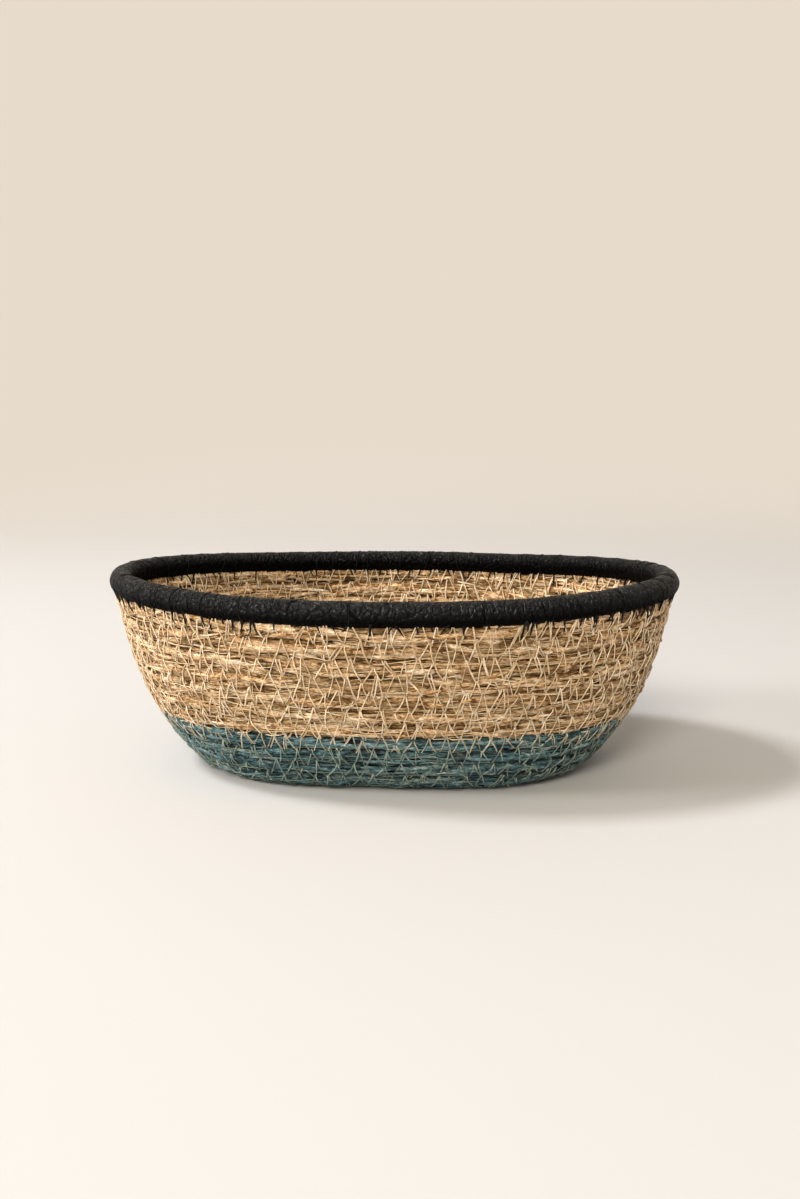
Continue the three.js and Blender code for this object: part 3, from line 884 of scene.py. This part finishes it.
def buildRimStitches():
    dice = random.Random(41)
    first, last = topRow * coil["loopSteps"], (topRow + 1) * coil["loopSteps"]
    ruler = coilRuler(first, last)
    end = ruler[0][-1]
    runs = []

    def hangLeg(at, slant, drop, side):
        t = np.linspace(0, 1, 8)
        up = rimStitch["top"] - (drop + rimStitch["hidden"]) * t
        bow = dice.gauss(0, rimStitch["bow"]) * np.sin(math.pi * t)
        steps = np.interp(np.clip(at + slant * t + bow, 0, end), *ruler)
        out = (spanHeight(np.minimum(up, rimStitch["hug"]), stitch["stand"], side)
               + side * (rimStitch["lift"] - rimStitch["tuck"] * t ** 9))
        widths = dice.uniform(*rimStitch["widths"]) * (rimStitch["wideEnd"] - rimStitch["thinning"] * t)
        runs.append((coilPlace(steps, up, out, topLevel), widths))

    def goOverRim(at, slant, side):
        t = np.linspace(0, 1, 9)
        turn = np.radians(90 - side * (rimStitch["overFrom"] - rimStitch["overSweep"] * t))
        along = np.clip(at - slant * t, 0, end)
        share = (np.interp(along, *ruler) - first) / coil["loopSteps"]
        points = rimPlace(share, turn, rim["radius"] + rimStitch["overStand"])
        runs.append((points, np.full(len(t), rimStitch["overWidth"])))

    def runAlong(at, side):
        t = np.linspace(0, 1, 6)
        up = (rimStitch["shortLevel"] + dice.uniform(-rimStitch["shortSpread"], rimStitch["shortSpread"])
              + rimStitch["shortWave"] * np.sin(3 * t))
        steps = np.interp(np.clip(at + t * dice.uniform(*rimStitch["shortLength"]), 0, end), *ruler)
        out = (spanHeight(up, stitch["stand"], side)
               - side * rimStitch["shortTuck"] * np.abs(2 * t - 1) ** 4)
        runs.append((coilPlace(steps, up, out, topLevel), np.full(len(t), rimStitch["shortWidth"])))

    for side in (1, -1):
        at = rimStitch["start"]
        while at < end - rimStitch["endRoom"]:
            drop = dice.uniform(*rimStitch["drop"])
            slant = dice.gauss(0, rimStitch["slantSpread"]) * rimStitch["slant"]
            hangLeg(at, slant, drop, side)
            if dice.random() < rimStitch["over"]:
                goOverRim(at, slant + dice.gauss(0, rimStitch["overSlant"]), side)
            if dice.random() < rimStitch["paired"]:
                beside = at + dice.uniform(-rimStitch["pairedGap"], rimStitch["pairedGap"])
                across = -slant + dice.uniform(-rimStitch["pairedSlant"], rimStitch["pairedSlant"])
                hangLeg(beside, across, dice.uniform(*rimStitch["pairedDrop"]), side)
            if dice.random() < rimStitch["short"]:
                runAlong(at + slant, side)
            at += dice.uniform(*rimStitch["gap"])
    thread = makeThread("rim_thread", runs, rimStitch["thickness"])
    dress(thread, blackThread, "black_thread", "rim_stitches")
    print("rim sewn")


buildRimStitches()

# Stage, light and camera, in metres
stage = {
    "width": 10, "front": -6.0, "back": 1.6, "rise": 1.6, "curve": 0.8, "curveSteps": 16,
    "floor": (0.53, 0.536, 0.546), "roughness": 0.8, "paleFrom": 0.3, "paleTo": 1.3,
    "roomLight": (1, 0.87, 0.70), "roomStrength": 0.5, "roomSeen": (0.80, 0.71, 0.60),
}


# 1 for what is looked at, straight, in a gloss or through glass, and 0 for what only lights
def seenDirectly(tree):
    ray = addNode(tree, "ShaderNodeLightPath", (-800, 500))
    shiny = addNode(tree, "ShaderNodeMath", (-600, 500), operation="MAXIMUM")
    clear = addNode(tree, "ShaderNodeMath", (-400, 500), operation="MAXIMUM")
    tree.links.new(ray.outputs["Is Camera Ray"], shiny.inputs[0])
    tree.links.new(ray.outputs["Is Glossy Ray"], shiny.inputs[1])
    tree.links.new(shiny.outputs["Value"], clear.inputs[0])
    tree.links.new(ray.outputs["Is Transmission Ray"], clear.inputs[1])
    return clear.outputs["Value"]


# Plain where the basket stands, and with distance it goes over into the pale room
def floorMaterial():
    material, tree, bsdf = newMaterial("paleFloor")
    link = tree.links.new
    coords = addNode(tree, "ShaderNodeTexCoord", (-800, 200))
    distance = addNode(tree, "ShaderNodeVectorMath", (-600, 200), operation="LENGTH")
    far = addNode(tree, "ShaderNodeMapRange", (-400, 200), {
        "From Min": stage["paleFrom"], "From Max": stage["paleTo"]}, interpolation_type="SMOOTHSTEP")
    share = addNode(tree, "ShaderNodeMath", (-200, 200), operation="MULTIPLY")
    pale = addNode(tree, "ShaderNodeEmission", (0, -400), {"Color": (*stage["roomSeen"], 1)})
    mix = addNode(tree, "ShaderNodeMixShader", (300, 100))
    link(coords.outputs["Object"], distance.inputs[0])
    link(distance.outputs["Value"], far.inputs["Value"])
    link(far.outputs["Result"], share.inputs[0])
    link(seenDirectly(tree), share.inputs[1])
    link(share.outputs["Value"], mix.inputs["Fac"])
    link(bsdf.outputs["BSDF"], mix.inputs[1])
    link(pale.outputs["Emission"], mix.inputs[2])
    link(mix.outputs["Shader"], tree.nodes["Material Output"].inputs["Surface"])
    bsdf.inputs["Base Color"].default_value = (*stage["floor"], 1)
    bsdf.inputs["Roughness"].default_value = stage["roughness"]
    return material


# Floor that curves up into a back wall
def buildFloor():
    deselect()
    bpy.ops.mesh.primitive_plane_add(size=1, location=(0, 0, 0))
    floor = bpy.context.object
    floor.name = "floor"
    bpy.ops.object.mode_set(mode="EDIT")
    bpy.ops.transform.resize(value=(stage["width"], stage["back"] - stage["front"], 1))
    bpy.ops.transform.translate(value=(0, (stage["front"] + stage["back"]) / 2, 0))
    bpy.ops.object.mode_set(mode="OBJECT")
    for edge in floor.data.edges:
        edge.select = all(floor.data.vertices[v].co.y > 0 for v in edge.vertices)
    for vertex in floor.data.vertices:
        vertex.select = vertex.co.y > 0
    for face in floor.data.polygons:
        face.select = False
    bpy.ops.object.mode_set(mode="EDIT")
    bpy.ops.mesh.extrude_region_move(TRANSFORM_OT_translate={"value": (0, 0, stage["rise"])})
    bpy.ops.object.mode_set(mode="OBJECT")
    curve = floor.modifiers.new("curve", "BEVEL")
    curve.width = stage["curve"]
    curve.segments = stage["curveSteps"]
    bpy.ops.object.modifier_apply(modifier="curve")
    bpy.ops.object.shade_smooth()
    floor.data.materials.append(floorMaterial())


# Soft light from all round; what is seen of it past the floor is as pale as the far floor
def buildRoom():
    world = bpy.data.worlds.new("softRoom")
    bpy.context.scene.world = world
    world.use_nodes = True
    tree = world.node_tree
    light = tree.nodes["Background"]
    light.inputs["Color"].default_value = (*stage["roomLight"], 1)
    light.inputs["Strength"].default_value = stage["roomStrength"]
    seen = addNode(tree, "ShaderNodeBackground", (0, -150), {"Color": (*stage["roomSeen"], 1)})
    mix = addNode(tree, "ShaderNodeMixShader", (200, 0))
    tree.links.new(seenDirectly(tree), mix.inputs["Fac"])
    tree.links.new(light.outputs["Background"], mix.inputs[1])
    tree.links.new(seen.outputs["Background"], mix.inputs[2])
    tree.links.new(mix.outputs["Shader"], tree.nodes["World Output"].inputs["Surface"])


lamps = {
    "key": {"place": (-1.49, -0.2, 2.13), "size": 0.5, "power": 48, "colour": (1, 0.98, 0.97)},
    "front": {"place": (-0.35, -2.15, 1.4), "size": 0.8, "power": 44, "colour": (1, 0.91, 0.77)},
    "left": {"place": (-2.2, -0.7, 0.9), "size": 0.6, "power": 39, "colour": (1, 0.96, 0.91)},
}
lampAim = (0, 0, 0.03)


def addLamp(name, look):
    deselect()
    bpy.ops.object.light_add(type="AREA", location=look["place"])
    lamp = bpy.context.object
    lamp.name = name
    lamp.data.size = look["size"]
    lamp.data.energy = look["power"]
    lamp.data.color = look["colour"]
    way = np.array(lampAim) - np.array(look["place"])
    tilt = math.atan2(math.hypot(way[0], way[1]), -way[2])
    lamp.rotation_euler = (tilt, 0, math.atan2(way[0], -way[1]) + math.pi)


buildFloor()
buildRoom()
for lampName, lampLook in lamps.items():
    addLamp(lampName, lampLook)
print("stage lit")

# Angles in degrees, lengths in millimetres, and the lens by the photograph's height in pixels
shot = {
    "turn": 3.78, "pitch": 8.91, "distance": 430, "height": 125.4, "sideways": 2.7,
    "focalPixels": 1221, "imageHeight": 1199, "sensor": 36,
}


def buildCamera():
    turn = math.radians(shot["turn"])
    x = shot["sideways"] * math.cos(turn) + shot["distance"] * math.sin(turn)
    y = shot["sideways"] * math.sin(turn) - shot["distance"] * math.cos(turn)
    deselect()
    bpy.ops.object.camera_add(location=(x * mm, y * mm, shot["height"] * mm),
                              rotation=(math.radians(90 - shot["pitch"]), 0, turn))
    camera = bpy.context.object
    camera.data.sensor_width = shot["sensor"]
    camera.data.lens = shot["focalPixels"] * shot["sensor"] / shot["imageHeight"]
    bpy.context.scene.camera = camera


buildCamera()
bpy.context.scene.view_settings.view_transform = "Standard"

print("scene made")
